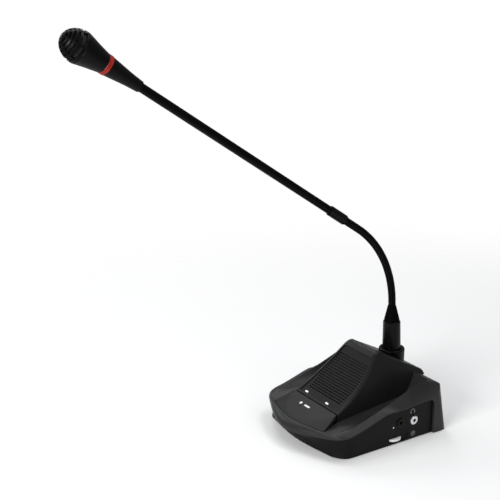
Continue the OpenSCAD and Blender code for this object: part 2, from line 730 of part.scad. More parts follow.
module talk_plate() {
    color([0.13, 0.13, 0.14]) {
        difference() {
            plate_slab(0, plate_skirt, 0);
            plate_slab(plate_t, plate_skirt + 1, 1.8);
        }
        for (x = stud_xs) translate([x, stud_y, plate_z(stud_y) - plate_t - stud_h])
            cylinder(h = stud_h + 0.5, r = stud_r);
    }
}

stud_x = 22;
stud_xs = [-stud_x, 0, stud_x];
stud_y = -(plate_rear + plate_front) / 2;
stud_h = 3;
stud_r = 2;
stud_gap = 0.3;
mat_t = 0.8;
mat_z = plate_z(stud_y) - plate_t - stud_h - stud_gap - plate_travel - mat_t;
mat_w = 10;
tact_w = 6;
tact_x = stud_x + 6;
module switch_mat() {
    color([0.3, 0.3, 0.31])
    difference() {
        translate([-tact_x + 2, stud_y - mat_w / 2, mat_z]) cube([2 * tact_x - 4, mat_w, mat_t]);
        for (x = stud_xs) translate([x, stud_y, mat_z - 0.1]) cylinder(h = 0.5, r = stud_r);
    }
}
module tact_switches() {
    board_y = stud_y - mat_w / 2 - 1;
    color([0.2, 0.2, 0.21])
    translate([-tact_x, board_y, board_z]) cube([2 * tact_x, board_front - board_y, board_t]);
    for (x = stud_xs) color([0.7, 0.7, 0.7])
        translate([x - tact_w / 2, stud_y - tact_w / 2, board_top]) cube([tact_w, tact_w, mat_z - board_top]);
}

// Socket collar through the roof and what the plug sits on
collar_r = collar_d / 2;
collar_round = 1.4;
plug_gap = 0.5;
bore_r = plug_d / 2 + plug_gap;
collar_floor = 2.5;
module socket_collar() {
    n = 6;
    color([0.08, 0.08, 0.085])
    difference() {
        rotate_extrude() polygon(concat(
            [[0, rear_seat_z], [collar_r, rear_seat_z]],
            [for (i = [0:n]) let (a = 90 * i / n)
                [collar_r - collar_round + collar_round * cos(a),
                    collar_h - collar_round + collar_round * sin(a)]],
            [[bore_r + 0.6, collar_h], [bore_r, collar_h - 0.6],
                [bore_r, rear_seat_z + collar_floor], [0, rear_seat_z + collar_floor]]));
        at_pins() translate([0, 0, rear_seat_z - 1]) cylinder(h = collar_floor + 2, r = 1.2);
    }
}

pin_count = 5;
pin_circle = 3.6;
pin_r = 0.7;
module at_pins() {
    for (i = [0:pin_count - 1]) rotate([0, 0, 360 * i / pin_count - 54])
        translate([pin_circle, 0, 0]) children();
}

core_r = 6.2;
core_z = rear_seat_z + collar_floor;
plug_bottom = core_z + 3;
shell_bore_r = 7;
insert_z = plug_bottom + 14;
module socket_core() {
    color([0.25, 0.25, 0.26])
    difference() {
        union() {
            translate([0, 0, core_z]) cylinder(h = 2, r = bore_r - 0.1);
            translate([0, 0, core_z]) cylinder(h = insert_z - core_z - 1.5, r = core_r);
        }
        at_pins() translate([0, 0, core_z - 1]) cylinder(h = insert_z - core_z, r = pin_r + 0.4);
    }
}

// The plug and all that it carries lean forward about a point inside the socket
lean_z = 63;
module leaning() {
    translate([0, 0, lean_z]) rotate([plug_lean, 0, 0]) translate([0, 0, -lean_z]) children();
}

insert_t = 3;
module plug_insert() {
    leaning() {
        color([0.12, 0.12, 0.12]) translate([0, 0, insert_z]) cylinder(h = insert_t, r = shell_bore_r);
        color([0.85, 0.68, 0.3]) at_pins() translate([0, 0, plug_bottom + 3])
            cylinder(h = insert_z - plug_bottom - 2, r = pin_r);
    }
}

plug_r = plug_d / 2;
plug_top_r = plug_r - 0.5;
wire_r = 1.2;
latch_turn = -56;
latch_z = 74.5;
latch = [6, 7.6];
latch_depth = 4.4;
module latch_pocket(grow, r0, r1) {
    rotate([0, 0, latch_turn]) translate([r0, -latch[0] / 2 - grow, latch_z - grow])
        cube([r1 - r0, latch[0] + 2 * grow, latch[1] + 2 * grow]);
}
module plug_shell() {
    color([0.07, 0.07, 0.075])
    leaning() difference() {
        rotate_extrude() polygon([[0, plug_bottom], [plug_r - 0.5, plug_bottom],
            [plug_r, plug_bottom + 0.5], [plug_r, collar_h + 4], [plug_top_r, plug_top_h - 0.8],
            [plug_top_r - 0.8, plug_top_h], [0, plug_top_h]]);
        translate([0, 0, plug_bottom - 1])
            cylinder(h = insert_z + insert_t - plug_bottom + 1, r = shell_bore_r);
        cylinder(h = plug_top_h + 1, r = wire_r);
        latch_pocket(0.3, plug_r - latch_depth, plug_r + 2);
    }
}
module release_button() {
    color([0.03, 0.03, 0.03])
    leaning() intersection() {
        latch_pocket(0, plug_r - 2.8, plug_r + 2);
        cylinder(h = plug_top_h, r = plug_r - 0.7);
    }
}

neck_r = neck_d / 2;
boot_low_r = plug_top_r - 1;
boot_high_r = neck_r + 0.4;
spigot_l = 0.35 * boot_l;
spigot_r = neck_r - 0.9;
module plug_boot() {
    color([0.05, 0.05, 0.05])
    leaning() difference() {
        rotate_extrude() polygon([[0, plug_top_h], [boot_low_r, plug_top_h],
            [boot_low_r, plug_top_h + 1.5],
            [boot_low_r - 0.6 * (boot_low_r - boot_high_r), plug_top_h + 0.62 * boot_l],
            [boot_high_r, boot_top_h - 0.5], [boot_high_r - 0.3, boot_top_h], [0, boot_top_h]]);
        translate([0, 0, boot_top_h - spigot_l]) cylinder(h = spigot_l + 1, r = spigot_r);
        translate([0, 0, plug_top_h - 1]) cylinder(h = boot_l, r = wire_r);
    }
}

// Bendable neck: short links, each with a ball in the dish of the next one
neck_lead = 3;
arc_links = 6;
link_turn = neck_bend_angle / arc_links;
link_pitch = neck_bend_r * neck_bend_angle * PI / 180 / arc_links;
ball_r = 0.66 * neck_r;
ball_gap = 0.08;
end_slope = 8;
module on_arc(a) {
    leaning() translate([0, -neck_bend_r, boot_top_h + neck_lead])
        rotate([a, 0, 0]) translate([0, neck_bend_r, 0]) children();
}
module on_tail(d) {
    on_arc(neck_bend_angle) translate([0, 0, d]) children();
}
module end_ring() {
    h = (neck_r + 1) * tan(end_slope);
    difference() {
        translate([0, 0, -0.4]) cylinder(h = h + 0.4, r = neck_r + 1);
        cylinder(h = h, r1 = 0, r2 = neck_r + 1);
    }
}
module lower_end_cut() {
    end_ring();
    sphere(r = ball_r + ball_gap);
}
module upper_end_cut() {
    mirror([0, 0, 1]) end_ring();
}
module arc_bar(a0, a1, r) {
    leaning() translate([0, -neck_bend_r, boot_top_h + neck_lead]) rotate([90, 0, 90]) rotate([0, 0, a0])
        rotate_extrude(angle = a1 - a0) translate([neck_bend_r, 0]) circle(r);
}
module arc_link(i) {
    a0 = (i - 1) * link_turn;
    a1 = i * link_turn;
    color([0.1, 0.1, 0.105])
    difference() {
        union() {
            difference() {
                arc_bar(a0, a1, neck_r);
                on_arc(a0) lower_end_cut();
                on_arc(a1) upper_end_cut();
            }
            on_arc(a1) sphere(r = ball_r);
        }
        arc_bar(a0 - 3, a1 + 3, wire_r);
    }
}
module neck_start() {
    color([0.1, 0.1, 0.105])
    difference() {
        union() {
            leaning() translate([0, 0, boot_top_h - spigot_l]) cylinder(h = spigot_l + 1, r = spigot_r);
            difference() {
                leaning() translate([0, 0, boot_top_h]) cylinder(h = neck_lead, r = neck_r);
                on_arc(0) upper_end_cut();
            }
            on_arc(0) sphere(r = ball_r);
        }
        leaning() translate([0, 0, boot_top_h - spigot_l - 1])
            cylinder(h = spigot_l + neck_lead + 2 * neck_r, r = wire_r);
    }
}
module tail_link() {
    color([0.1, 0.1, 0.105])
    difference() {
        union() {
            difference() {
                on_tail(0) cylinder(h = link_pitch, r = neck_r);
                on_tail(0) lower_end_cut();
                on_tail(link_pitch) upper_end_cut();
            }
            on_tail(link_pitch) sphere(r = ball_r);
        }
        on_tail(-4) cylinder(h = link_pitch + 8, r = wire_r);
    }
}
neck_spigot_l = 8;
module neck_end() {
    color([0.1, 0.1, 0.105])
    difference() {
        union() {
            on_tail(link_pitch) cylinder(h = neck_tail - link_pitch, r = neck_r);
            on_tail(neck_tail - 1) cylinder(h = neck_spigot_l + 1, r = spigot_r);
        }
        on_tail(link_pitch) lower_end_cut();
        on_tail(link_pitch - 1) cylinder(h = neck_tail - link_pitch + neck_spigot_l + 2, r = wire_r);
    }
}

// Ferrule, tube and head, measured along the tube from the end of the neck
ferrule_r = ferrule_d / 2;
tube_r = tube_d / 2;
tube_in = 10;
tube_wall = 0.8;
module coupling_ferrule() {
    color([0.2, 0.2, 0.21])
    on_tail(neck_tail) rotate_extrude() polygon([[spigot_r, 0], [ferrule_r - 0.5, 0],
        [ferrule_r, 0.5], [ferrule_r, ferrule_l - 0.5], [ferrule_r - 0.5, ferrule_l],
        [tube_r, ferrule_l], [tube_r, ferrule_l - tube_in], [spigot_r, ferrule_l - tube_in]]);
}
sleeve_start = neck_tail + ferrule_l + tube_l;
tube_tuck = 18;
module rigid_tube() {
    color([0.12, 0.12, 0.125])
    on_tail(neck_tail + ferrule_l - tube_in) rotate_extrude()
        polygon([[tube_r - tube_wall, 0], [tube_r, 0], [tube_r, tube_in + tube_l + tube_tuck],
            [tube_r - tube_wall, tube_in + tube_l + tube_tuck]]);
}
ring_r = ring_d / 2;
sleeve_top_r = ring_r - 0.35;
sleeve_low_r = tube_r + 1;
module head_sleeve() {
    color([0.09, 0.09, 0.095])
    on_tail(sleeve_start) rotate_extrude() polygon([[tube_r, 0], [sleeve_low_r - 0.4, 0],
        [sleeve_low_r, 0.4], [sleeve_low_r + 0.28 * (sleeve_top_r - sleeve_low_r), sleeve_l * 0.38],
        [sleeve_top_r, sleeve_l], [tube_r - 1, sleeve_l], [tube_r - 1, tube_tuck], [tube_r, tube_tuck]]);
}
ring_start = sleeve_start + sleeve_l;
module light_ring() {
    color([0.75, 0.22, 0.2])
    on_tail(ring_start) rotate_extrude() polygon([[tube_r - 1, 0], [ring_r - 0.3, 0], [ring_r, 0.3],
        [ring_r, ring_l - 0.3], [ring_r - 0.3, ring_l], [tube_r - 1, ring_l]]);
}
head_start = ring_start + ring_l;
head_r = head_d / 2;
head_wall = 1.6;
module capsule_body() {
    color([0.09, 0.09, 0.095])
    on_tail(head_start) rotate_extrude() polygon([[tube_r - 1, 0], [ring_r - 0.2, 0],
        [ring_r - 0.2 + 0.5 * (head_r - ring_r), cone_l * 0.5], [head_r, cone_l - 0.6],
        [head_r - 0.5, cone_l], [head_r - head_wall, cone_l], [head_r - head_wall - 0.4, cone_l - 4],
        [ring_r - head_wall, 3], [tube_r - 1, 3]]);
}
holder_z = cone_l - 9;
holder_r = ring_r + 0.9;
capsule_r = 6.5;
capsule_l = 9;
capsule_top = holder_z - 3 + capsule_l;
module capsule_holder() {
    color([0.15, 0.15, 0.15])
    on_tail(head_start + holder_z) difference() {
        cylinder(h = 4, r1 = holder_r, r2 = holder_r + 0.7);
        translate([0, 0, -1]) cylinder(h = 6, r = capsule_r);
    }
}
module mic_capsule() {
    color([0.6, 0.61, 0.62])
    on_tail(head_start + holder_z - 3) difference() {
        cylinder(h = capsule_l, r = capsule_r);
        translate([0, 0, capsule_l - 1]) cylinder(h = 2, r = capsule_r - 1.2);
    }
}

// Foam inside the dome, in front of the capsule
foam_gap = 0.3;
foam_base = capsule_top - cone_l + 0.1;
module foam_ball() {
    r = head_r - dome_wall - foam_gap;
    l = dome_l - dome_wall - foam_gap;
    color([0.03, 0.03, 0.03])
    on_tail(head_start + cone_l) rotate_extrude() polygon(concat([[0, foam_base], [capsule_r + 2, foam_base]],
        [for (i = [0:12]) let (a = 84 - 7 * i) [r * sin(a), l * cos(a)]]));
}

// Dome in front of the capsule: rings round its pole, carried by spokes
dome_wall = 1.6;
spoke_count = 6;
spoke_w = 1.4;
function dome_pt(a, d) = [(head_r - d) * sin(a), (dome_l - d) * cos(a)];
function dome_band(a0, a1) = concat(
    [for (i = [0:4]) dome_pt(a0 + (a1 - a0) * i / 4, 0)],
    [for (i = [4:-1:0]) dome_pt(a0 + (a1 - a0) * i / 4, dome_wall)]);
dome_rim_angle = 82;
dome_step = dome_rim_angle / (dome_slots + 0.5);
dome_rib = 0.55;
module windscreen() {
    color([0.07, 0.07, 0.075])
    on_tail(head_start + cone_l) {
        rotate_extrude() polygon(dome_band(dome_rim_angle, 90));
        for (k = [0:dome_slots - 1]) rotate_extrude()
            polygon(dome_band(max(0.5, k * dome_step), (k + dome_rib) * dome_step));
        intersection() {
            rotate_extrude() polygon(dome_band(0, 90));
            for (i = [0:spoke_count / 2 - 1]) rotate([0, 0, 360 * i / spoke_count])
                translate([-head_r, -spoke_w / 2, 0]) cube([head_d, spoke_w, dome_l + 1]);
        }
    }
}

bottom_plate();
ballast_plate();
lower_housing();
top_cover();
tower_shell();
grille_panel();
speaker_cloth();
speaker_baffle();
speaker_frame();
speaker_cone();
speaker_magnet();
indicator_lenses();
talk_plate();
switch_mat();
tact_switches();
circuit_board();
board_parts();
ringed_jack();
dark_jack();
volume_wheel();
volume_pot();
link_sockets();
rubber_strips();
base_screws();
socket_collar();
socket_core();
plug_shell();
plug_insert();
release_button();
plug_boot();
neck_start();
arc_link(1);  // neck_link_1
arc_link(2);  // neck_link_2
arc_link(3);  // neck_link_3
arc_link(4);  // neck_link_4
arc_link(5);  // neck_link_5
arc_link(6);  // neck_link_6
tail_link();  // neck_link_7
neck_end();
coupling_ferrule();
rigid_tube();
head_sleeve();
light_ring();
capsule_body();
capsule_holder();
mic_capsule();
foam_ball();
windscreen();
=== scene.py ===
import json
import math

import bmesh
import bpy
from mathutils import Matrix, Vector
from mathutils.bvhtree import BVHTree


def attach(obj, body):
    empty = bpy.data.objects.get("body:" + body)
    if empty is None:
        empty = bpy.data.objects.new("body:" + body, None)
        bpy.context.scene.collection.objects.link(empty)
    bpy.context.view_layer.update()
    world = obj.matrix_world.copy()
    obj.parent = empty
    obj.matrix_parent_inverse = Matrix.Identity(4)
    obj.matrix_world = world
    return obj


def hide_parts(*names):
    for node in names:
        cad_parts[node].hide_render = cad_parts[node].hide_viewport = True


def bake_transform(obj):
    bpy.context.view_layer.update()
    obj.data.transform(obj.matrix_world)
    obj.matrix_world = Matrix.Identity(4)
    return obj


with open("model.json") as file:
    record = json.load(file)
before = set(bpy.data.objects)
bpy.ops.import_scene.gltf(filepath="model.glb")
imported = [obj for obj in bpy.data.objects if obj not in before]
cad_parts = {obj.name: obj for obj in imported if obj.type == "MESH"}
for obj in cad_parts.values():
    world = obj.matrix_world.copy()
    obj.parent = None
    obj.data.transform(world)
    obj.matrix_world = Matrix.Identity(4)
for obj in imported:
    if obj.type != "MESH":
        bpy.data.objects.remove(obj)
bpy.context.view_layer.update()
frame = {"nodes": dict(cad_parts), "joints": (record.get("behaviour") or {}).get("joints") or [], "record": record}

nodes = frame["nodes"]
slotOf = {entry["node"]: entry["material_slot"] for entry in frame["record"]["subparts"]}
bodyOf = {node: body for body, held in frame["record"]["behaviour"]["bodies"].items()
          for node in held}
print("scene: frame loaded,", len(nodes), "nodes")

# Angles in degrees, place and clip end in metres, lens and sensor width in millimetres
viewSettings = {
    "azimuth": 57.365,
    "pitch": 16.7,
    "place": (0.7414, -0.6513, 0.4709),
    "lens": 72.0,
    "sensor": 36.0,
    "clipEnd": 20.0,
}


def linkObject(name, data):
    made = bpy.data.objects.new(name, data)
    bpy.context.scene.collection.objects.link(made)
    return made


# The camera stands where the fit to the photograph puts it
def makeCamera(settings):
    data = bpy.data.cameras.new("viewCamera")
    data.lens = settings["lens"]
    data.sensor_width = settings["sensor"]
    data.clip_end = settings["clipEnd"]
    camera = linkObject("viewCamera", data)
    camera.rotation_euler = (
        math.radians(90 - settings["pitch"]), 0.0, math.radians(settings["azimuth"]))
    camera.location = settings["place"]
    bpy.context.scene.camera = camera


makeCamera(viewSettings)


class Sock:
    # A shader socket that takes part in sums, so that node maths reads as maths
    def __init__(self, graph, socket):
        self.graph = graph
        self.socket = socket

    def _op(self, operation, *others):
        return self.graph.node("ShaderNodeMath", {"operation": operation},
                               dict(enumerate((self,) + others)))

    def __add__(self, other):
        return self._op("ADD", other)

    __radd__ = __add__

    def __sub__(self, other):
        return self._op("SUBTRACT", other)

    def __rsub__(self, other):
        return self * -1.0 + other

    def __mul__(self, other):
        return self._op("MULTIPLY", other)

    __rmul__ = __mul__

    def wave(self):
        return self._op("SINE")

    def power(self, other):
        return self._op("POWER", other)

    def step(self, low, high):
        # Smooth ramp from 0 at low to 1 at high
        return self.graph.node("ShaderNodeMapRange", {"interpolation_type": "SMOOTHSTEP"},
                               {"Value": self, "From Min": low, "From Max": high})


class Graph:
    # A node tree, whose sockets take numbers, colours or Socks
    def __init__(self, tree):
        self.tree = tree

    def plug(self, target, value):
        if isinstance(value, Sock):
            self.tree.links.new(value.socket, target)
        else:
            target.default_value = (*value, 1.0) if target.type == "RGBA" else value

    def node(self, kind, settings=None, sockets=None, output=0):
        made = self.tree.nodes.new(kind)
        for key, value in (settings or {}).items():
            setattr(made, key, value)
        for key, value in (sockets or {}).items():
            self.plug(made.inputs[key], value)
        return Sock(self, made.outputs[output]) if made.outputs else None


class Shader(Graph):
    # A material around one Principled BSDF
    def __init__(self, name, colour, roughness, metallic=0.0, **constants):
        self.material = bpy.data.materials.new(name)
        self.material.use_nodes = True
        super().__init__(self.material.node_tree)
        self.surface = self.tree.nodes["Principled BSDF"]
        self.feed("Base Color", colour)
        self.feed("Roughness", roughness)
        self.feed("Metallic", metallic)
        for key, value in constants.items():
            self.feed(key.replace("_", " "), value)

    def feed(self, key, value):
        self.plug(self.surface.inputs[key], value)

    def place(self):
        return self.node("ShaderNodeTexCoord", output="Object")

    def axes(self):
        split = self.node("ShaderNodeSeparateXYZ", None, {"Vector": self.place()})
        return [Sock(self, output) for output in split.socket.node.outputs]

    def noise(self, scale, detail=2.0, rough=0.5, stretch=None):
        vector = self.place()
        if stretch:
            vector = self.node("ShaderNodeMapping", None, {"Vector": vector, "Scale": stretch})
        return self.node("ShaderNodeTexNoise", None, {"Vector": vector, "Scale": scale,
                                                      "Detail": detail, "Roughness": rough}, "Fac")

    def cells(self, scale, feature="F1"):
        return self.node("ShaderNodeTexVoronoi", {"feature": feature},
                         {"Vector": self.place(), "Scale": scale}, "Distance")

    def blend(self, factor, first, second):
        # Inputs 6 and 7 and output 2 are the colours of a Mix node
        return self.node("ShaderNodeMix", {"data_type": "RGBA"},
                         {"Factor": factor, 6: first, 7: second}, 2)

    def shades(self, factor, colour, tones):
        # From a darker to a lighter shade of one colour
        first, second = (tuple(min(1.0, channel * tone) for channel in colour) for tone in tones)
        return self.blend(factor, first, second)

    def colour(self, value):
        self.feed("Base Color", value)

    def rough(self, value):
        self.feed("Roughness", value)

    def bump(self, height, strength, distance):
        self.feed("Normal", self.node("ShaderNodeBump", None, {
            "Height": height, "Strength": strength, "Distance": distance}))


# Grain and all other scales are in 1/m, and depths are in metres. A span is where a smooth ramp
# over a pattern starts and ends, and tones are factors on the colour or two colours
plasticSettings = {
    "cover": dict(colour=(0.016, 0.016, 0.0163), rough=0.4, grain=1500.0, depth=5e-5, gloss=0.22),
    "tower": dict(colour=(0.0085, 0.0085, 0.0087), rough=0.4, grain=1500.0, depth=5e-5, gloss=0.2),
    "skirt": dict(colour=(0.0032, 0.0032, 0.0033), rough=0.46, grain=1300.0, depth=6e-5,
                  gloss=0.12),
    "grille": dict(colour=(0.0055, 0.0055, 0.0057), rough=0.45, grain=1900.0, depth=3e-5,
                   gloss=0.16),
    "talk": dict(colour=(0.0175, 0.0175, 0.018), rough=0.38, grain=2200.0, depth=3e-5, gloss=0.11),
    "collar": dict(colour=(0.002, 0.002, 0.002), rough=0.36, grain=2200.0, depth=3e-5, gloss=0.1),
    "plug": dict(colour=(0.0028, 0.0028, 0.0028), rough=0.34, grain=2600.0, depth=2e-5,
                 gloss=0.12),
    "head": dict(colour=(0.0028, 0.0028, 0.0028), rough=0.38, grain=2300.0, depth=3e-5, gloss=0.1),
    "wheel": dict(colour=(0.66, 0.66, 0.65), rough=0.42, grain=1800.0, depth=3e-5, gloss=0.5),
}
mouldSettings = {
    "pitShare": 0.55,
    "cloudScale": 22.0,
    "cloudSpan": (0.3, 0.75),
    "cloudTones": (0.86, 1.16),
    "rubbedScale": 140.0,
    "rubbedSpan": (0.6, 0.74),
    "roughByGrain": 0.22,
    "roughByCloud": 0.1,
    "roughWhereRubbed": -0.06,
    "bumpByGrain": 0.7,
    "bumpByPits": 0.5,
    "bump": 0.55,
}


# Moulded plastic: spark-eroded grain, faint cloudiness and a few rubbed spots
def mouldedPlastic(name, settings, colour, rough, grain, depth, gloss):
    made = Shader(name, colour, rough, Specular_IOR_Level=gloss)
    fine = made.noise(grain, detail=3.0, rough=0.6)
    pits = made.cells(grain * settings["pitShare"])
    cloud = made.noise(settings["cloudScale"], detail=3.0, rough=0.55)
    rubbed = made.noise(settings["rubbedScale"], detail=4.0, rough=0.7)
    rubbed = rubbed.step(*settings["rubbedSpan"])
    made.colour(made.shades(cloud.step(*settings["cloudSpan"]), colour, settings["cloudTones"]))
    byGrain, byCloud = settings["roughByGrain"], settings["roughByCloud"]
    made.rough((fine - 0.5) * byGrain + cloud * byCloud + rubbed * settings["roughWhereRubbed"]
               + (rough - byCloud / 2))
    made.bump(fine * settings["bumpByGrain"] + pits * settings["bumpByPits"], settings["bump"],
              depth)
    return made


rubberSettings = {
    "colour": (0.0012, 0.0012, 0.0012),
    "dust": (0.003, 0.003, 0.0029),
    "rough": 0.58,
    "gloss": 0.03,
    "dustScale": 60.0,
    "dustSpan": (0.5, 0.85),
    "roughByDust": 0.18,
    "grain": 2400.0,
    "bump": 0.5,
    "depth": 4e-5,
}


# Rubber that is duller where dust lies on it
def rubberStuff(name, settings):
    made = Shader(name, settings["colour"], settings["rough"],
                  Specular_IOR_Level=settings["gloss"])
    dust = made.noise(settings["dustScale"], detail=4.0, rough=0.7)
    fine = made.noise(settings["grain"], rough=0.6)
    made.colour(made.blend(dust.step(*settings["dustSpan"]), settings["colour"],
                           settings["dust"]))
    made.rough(dust * settings["roughByDust"] + settings["rough"])
    made.bump(fine, settings["bump"], settings["depth"])
    return made


paintSettings = {
    "colour": (0.0016, 0.0016, 0.0016),
    "gloss": 0.06,
    "neckRough": 0.32,
    "tubeRough": 0.3,
    "peel": 420.0,
    "grain": 2600.0,
    "smear": 30.0,
    "smearTones": (0.85, 1.2),
    "roughBySmear": 0.14,
    "roughByGrain": 0.05,
    "bumpByGrain": 0.4,
    "bump": 0.4,
    "depth": 5e-5,
}


# Paint with a faint orange peel and smears from handling
def paintedSteel(name, settings, rough):
    colour = settings["colour"]
    made = Shader(name, colour, rough, Specular_IOR_Level=settings["gloss"])
    peel = made.noise(settings["peel"])
    fine = made.noise(settings["grain"])
    smear = made.noise(settings["smear"], detail=3.0, rough=0.6)
    bySmear = settings["roughBySmear"]
    made.colour(made.shades(smear, colour, settings["smearTones"]))
    made.rough(smear * bySmear + (rough - bySmear / 2) + fine * settings["roughByGrain"])
    made.bump(peel + fine * settings["bumpByGrain"], settings["bump"], settings["depth"])
    return made


# Brushed is the stretch of the brush lines along x, y and z
metalSettings = {
    "bareSteel": dict(colour=(0.5, 0.5, 0.51), rough=0.35, brushed=(1.0, 14.0, 1.0)),
    "jackChrome": dict(colour=(0.72, 0.73, 0.75), rough=0.18, brushed=(1.0, 9.0, 9.0)),
}
brushSettings = {
    "lines": 900.0,
    "stain": 50.0,
    "stainTones": (0.82, 1.08),
    "roughDrop": 0.1,
    "roughByLines": 0.22,
    "roughByStain": 0.06,
    "bump": 0.3,
    "depth": 3e-5,
}


def plainMetal(name, settings, colour, rough, brushed):
    made = Shader(name, colour, rough, metallic=1.0)
    lines = made.noise(settings["lines"], detail=3.0, rough=0.6, stretch=brushed)
    stain = made.noise(settings["stain"], detail=4.0, rough=0.6)
    made.colour(made.shades(stain, colour, settings["stainTones"]))
    made.rough(lines * settings["roughByLines"] + (rough - settings["roughDrop"])
               + stain * settings["roughByStain"])
    made.bump(lines, settings["bump"], settings["depth"])
    return made


windowSettings = {
    "tones": ((0.8, 0.81, 0.84), (0.95, 0.95, 0.97)),
    "rough": 0.22,
    "glow": 0.25,
    "clear": 0.1,
    "clouds": 380.0,
    "grain": 1500.0,
    "bump": 0.2,
    "depth": 2e-5,
}


# Pale window that is lit faintly from behind
def clearWhite(name, settings):
    first, second = settings["tones"]
    made = Shader(name, first, settings["rough"], Emission_Strength=settings["glow"],
                  Transmission_Weight=settings["clear"])
    tone = made.blend(made.noise(settings["clouds"]), first, second)
    made.colour(tone)
    made.feed("Emission Color", tone)
    made.bump(made.noise(settings["grain"]), settings["bump"], settings["depth"])
    return made


ringSettings = {
    "tones": ((0.24, 0.014, 0.009), (0.34, 0.022, 0.014)),
    "rough": 0.28,
    "gloss": 0.2,
    "glow": 0.14,
    "scatter": 0.15,
    "scatterRadius": (0.004, 0.001, 0.001),
    "clouds": 260.0,
    "cloudSpan": (0.35, 0.7),
    "grain": 1800.0,
    "bump": 0.15,
    "depth": 2e-5,
}


# Red light ring, whose tones vary as in a diffusing plastic
def redLight(name, settings):
    first, second = settings["tones"]
    made = Shader(name, first, settings["rough"], Emission_Strength=settings["glow"],
                  Specular_IOR_Level=settings["gloss"], Subsurface_Weight=settings["scatter"],
                  Subsurface_Radius=settings["scatterRadius"])
    clouds = made.noise(settings["clouds"]).step(*settings["cloudSpan"])
    tone = made.blend(clouds, first, second)
    made.colour(tone)
    made.feed("Emission Color", tone)
    made.bump(made.noise(settings["grain"]), settings["bump"], settings["depth"])
    return made


clothSettings = {
    "tones": ((0.003, 0.003, 0.003), (0.016, 0.016, 0.017)),
    "rough": 0.82,
    "roughByWeave": 0.08,
    "warp": 5200.0,
    "weft": 4200.0,
    "weaveSpan": (-0.6, 0.8),
    "bump": 0.8,
    "depth": 1e-4,
}


# Woven cloth behind the grille
def wovenCloth(name, settings):
    first, second = settings["tones"]
    made = Shader(name, first, settings["rough"])
    x, y, z = made.axes()
    weave = (x * settings["warp"]).wave() * ((y + z) * settings["weft"]).wave()
    made.colour(made.blend(weave.step(*settings["weaveSpan"]), first, second))
    made.rough(weave * settings["roughByWeave"] + settings["rough"])
    made.bump(weave, settings["bump"], settings["depth"])
    return made


boardSettings = {
    "tones": ((0.05, 0.2, 0.07), (0.015, 0.09, 0.035)),
    "rough": 0.3,
    "roughByGrain": 0.15,
    "tracks": 140.0,
    "trackSpan": (0.03, 0.06),
    "grain": 1100.0,
    "bump": 0.5,
    "depth": 5e-5,
}


# Circuit board with a net of tracks under its green lacquer
def boardStuff(name, settings):
    first, second = settings["tones"]
    made = Shader(name, first, settings["rough"])
    tracks = made.cells(settings["tracks"], "DISTANCE_TO_EDGE").step(*settings["trackSpan"])
    made.colour(made.blend(tracks, first, second))
    made.rough(made.noise(settings["grain"]) * settings["roughByGrain"] + settings["rough"])
    made.bump(tracks, settings["bump"], settings["depth"])
    return made


pulpSettings = {
    "tones": ((0.011, 0.011, 0.011), (0.034, 0.033, 0.031)),
    "rough": 0.68,
    "roughByFibre": 0.2,
    "fibres": 900.0,
    "bump": 0.7,
    "depth": 0.00012,
}


# Pressed paper pulp of the speaker's cone
def pulpStuff(name, settings):
    first, second = settings["tones"]
    made = Shader(name, first, settings["rough"])
    fibre = made.noise(settings["fibres"], detail=5.0, rough=0.75)
    made.colour(made.blend(fibre, first, second))
    made.rough(fibre * settings["roughByFibre"] + settings["rough"])
    made.bump(fibre, settings["bump"], settings["depth"])
    return made


plastics = {name: mouldedPlastic(name + "Plastic", mouldSettings, **values)
            for name, values in plasticSettings.items()}
metals = {name: plainMetal(name, brushSettings, **values)
          for name, values in metalSettings.items()}
dressing = {
    "cover": plastics["cover"],
    "skirt": plastics["skirt"],
    "grille": plastics["grille"],
    "talk": plastics["talk"],
    "plug": plastics["plug"],
    "wheel": plastics["wheel"],
    "rubber": rubberStuff("softRubber", rubberSettings),
    "neck": paintedSteel("neckSteel", paintSettings, paintSettings["neckRough"]),
    "tube": paintedSteel("tubeSteel", paintSettings, paintSettings["tubeRough"]),
    "steel": metals["bareSteel"],
    "jack_metal": metals["jackChrome"],
    "lens": clearWhite("lensWhite", windowSettings),
    "ring": redLight("ringRed", ringSettings),
    "cloth": wovenCloth("speakerMesh", clothSettings),
    "board": boardStuff("boardGreen", boardSettings),
    "paper_cone": pulpStuff("pressedPulp", pulpSettings),
}
# Nodes that wear another plastic than the one of their slot
special = {
    "tower_shell": "tower",
    "socket_collar": "collar",
    "head_sleeve": "head",
    "capsule_body": "head",
    "windscreen": "head",
    "coupling_ferrule": "head",
}
for name, piece in nodes.items():
    chosen = plastics[special[name]] if name in special else dressing[slotOf[name]]
    piece.data.materials.clear()
    piece.data.materials.append(chosen.material)
print("scene: materials made")

# Widths of the rounding on the edges of the moulded pieces
edgeSettings = {
    "top_cover": 0.0005,
    "lower_housing": 0.0004,
    "tower_shell": 0.0006,
    "talk_plate": 0.0006,
    "grille_panel": 0.00018,
    "socket_collar": 0.0003,
    "plug_shell": 0.00025,
    "release_button": 0.0004,
    "plug_boot": 0.0003,
    "link_sockets": 0.0003,
    "bottom_plate": 0.0003,
    "ringed_jack": 0.00015,
    "dark_jack": 0.00015,
    "volume_wheel": 0.00015,
}
# Degrees between two faces: up to flat they join, over rounded their edge is rounded, and over
# sharp it isn't shaded smooth
refineSettings = {"weld": 0.000004, "flat": 0.6, "rounded": 32, "sharp": 42, "segments": 2}


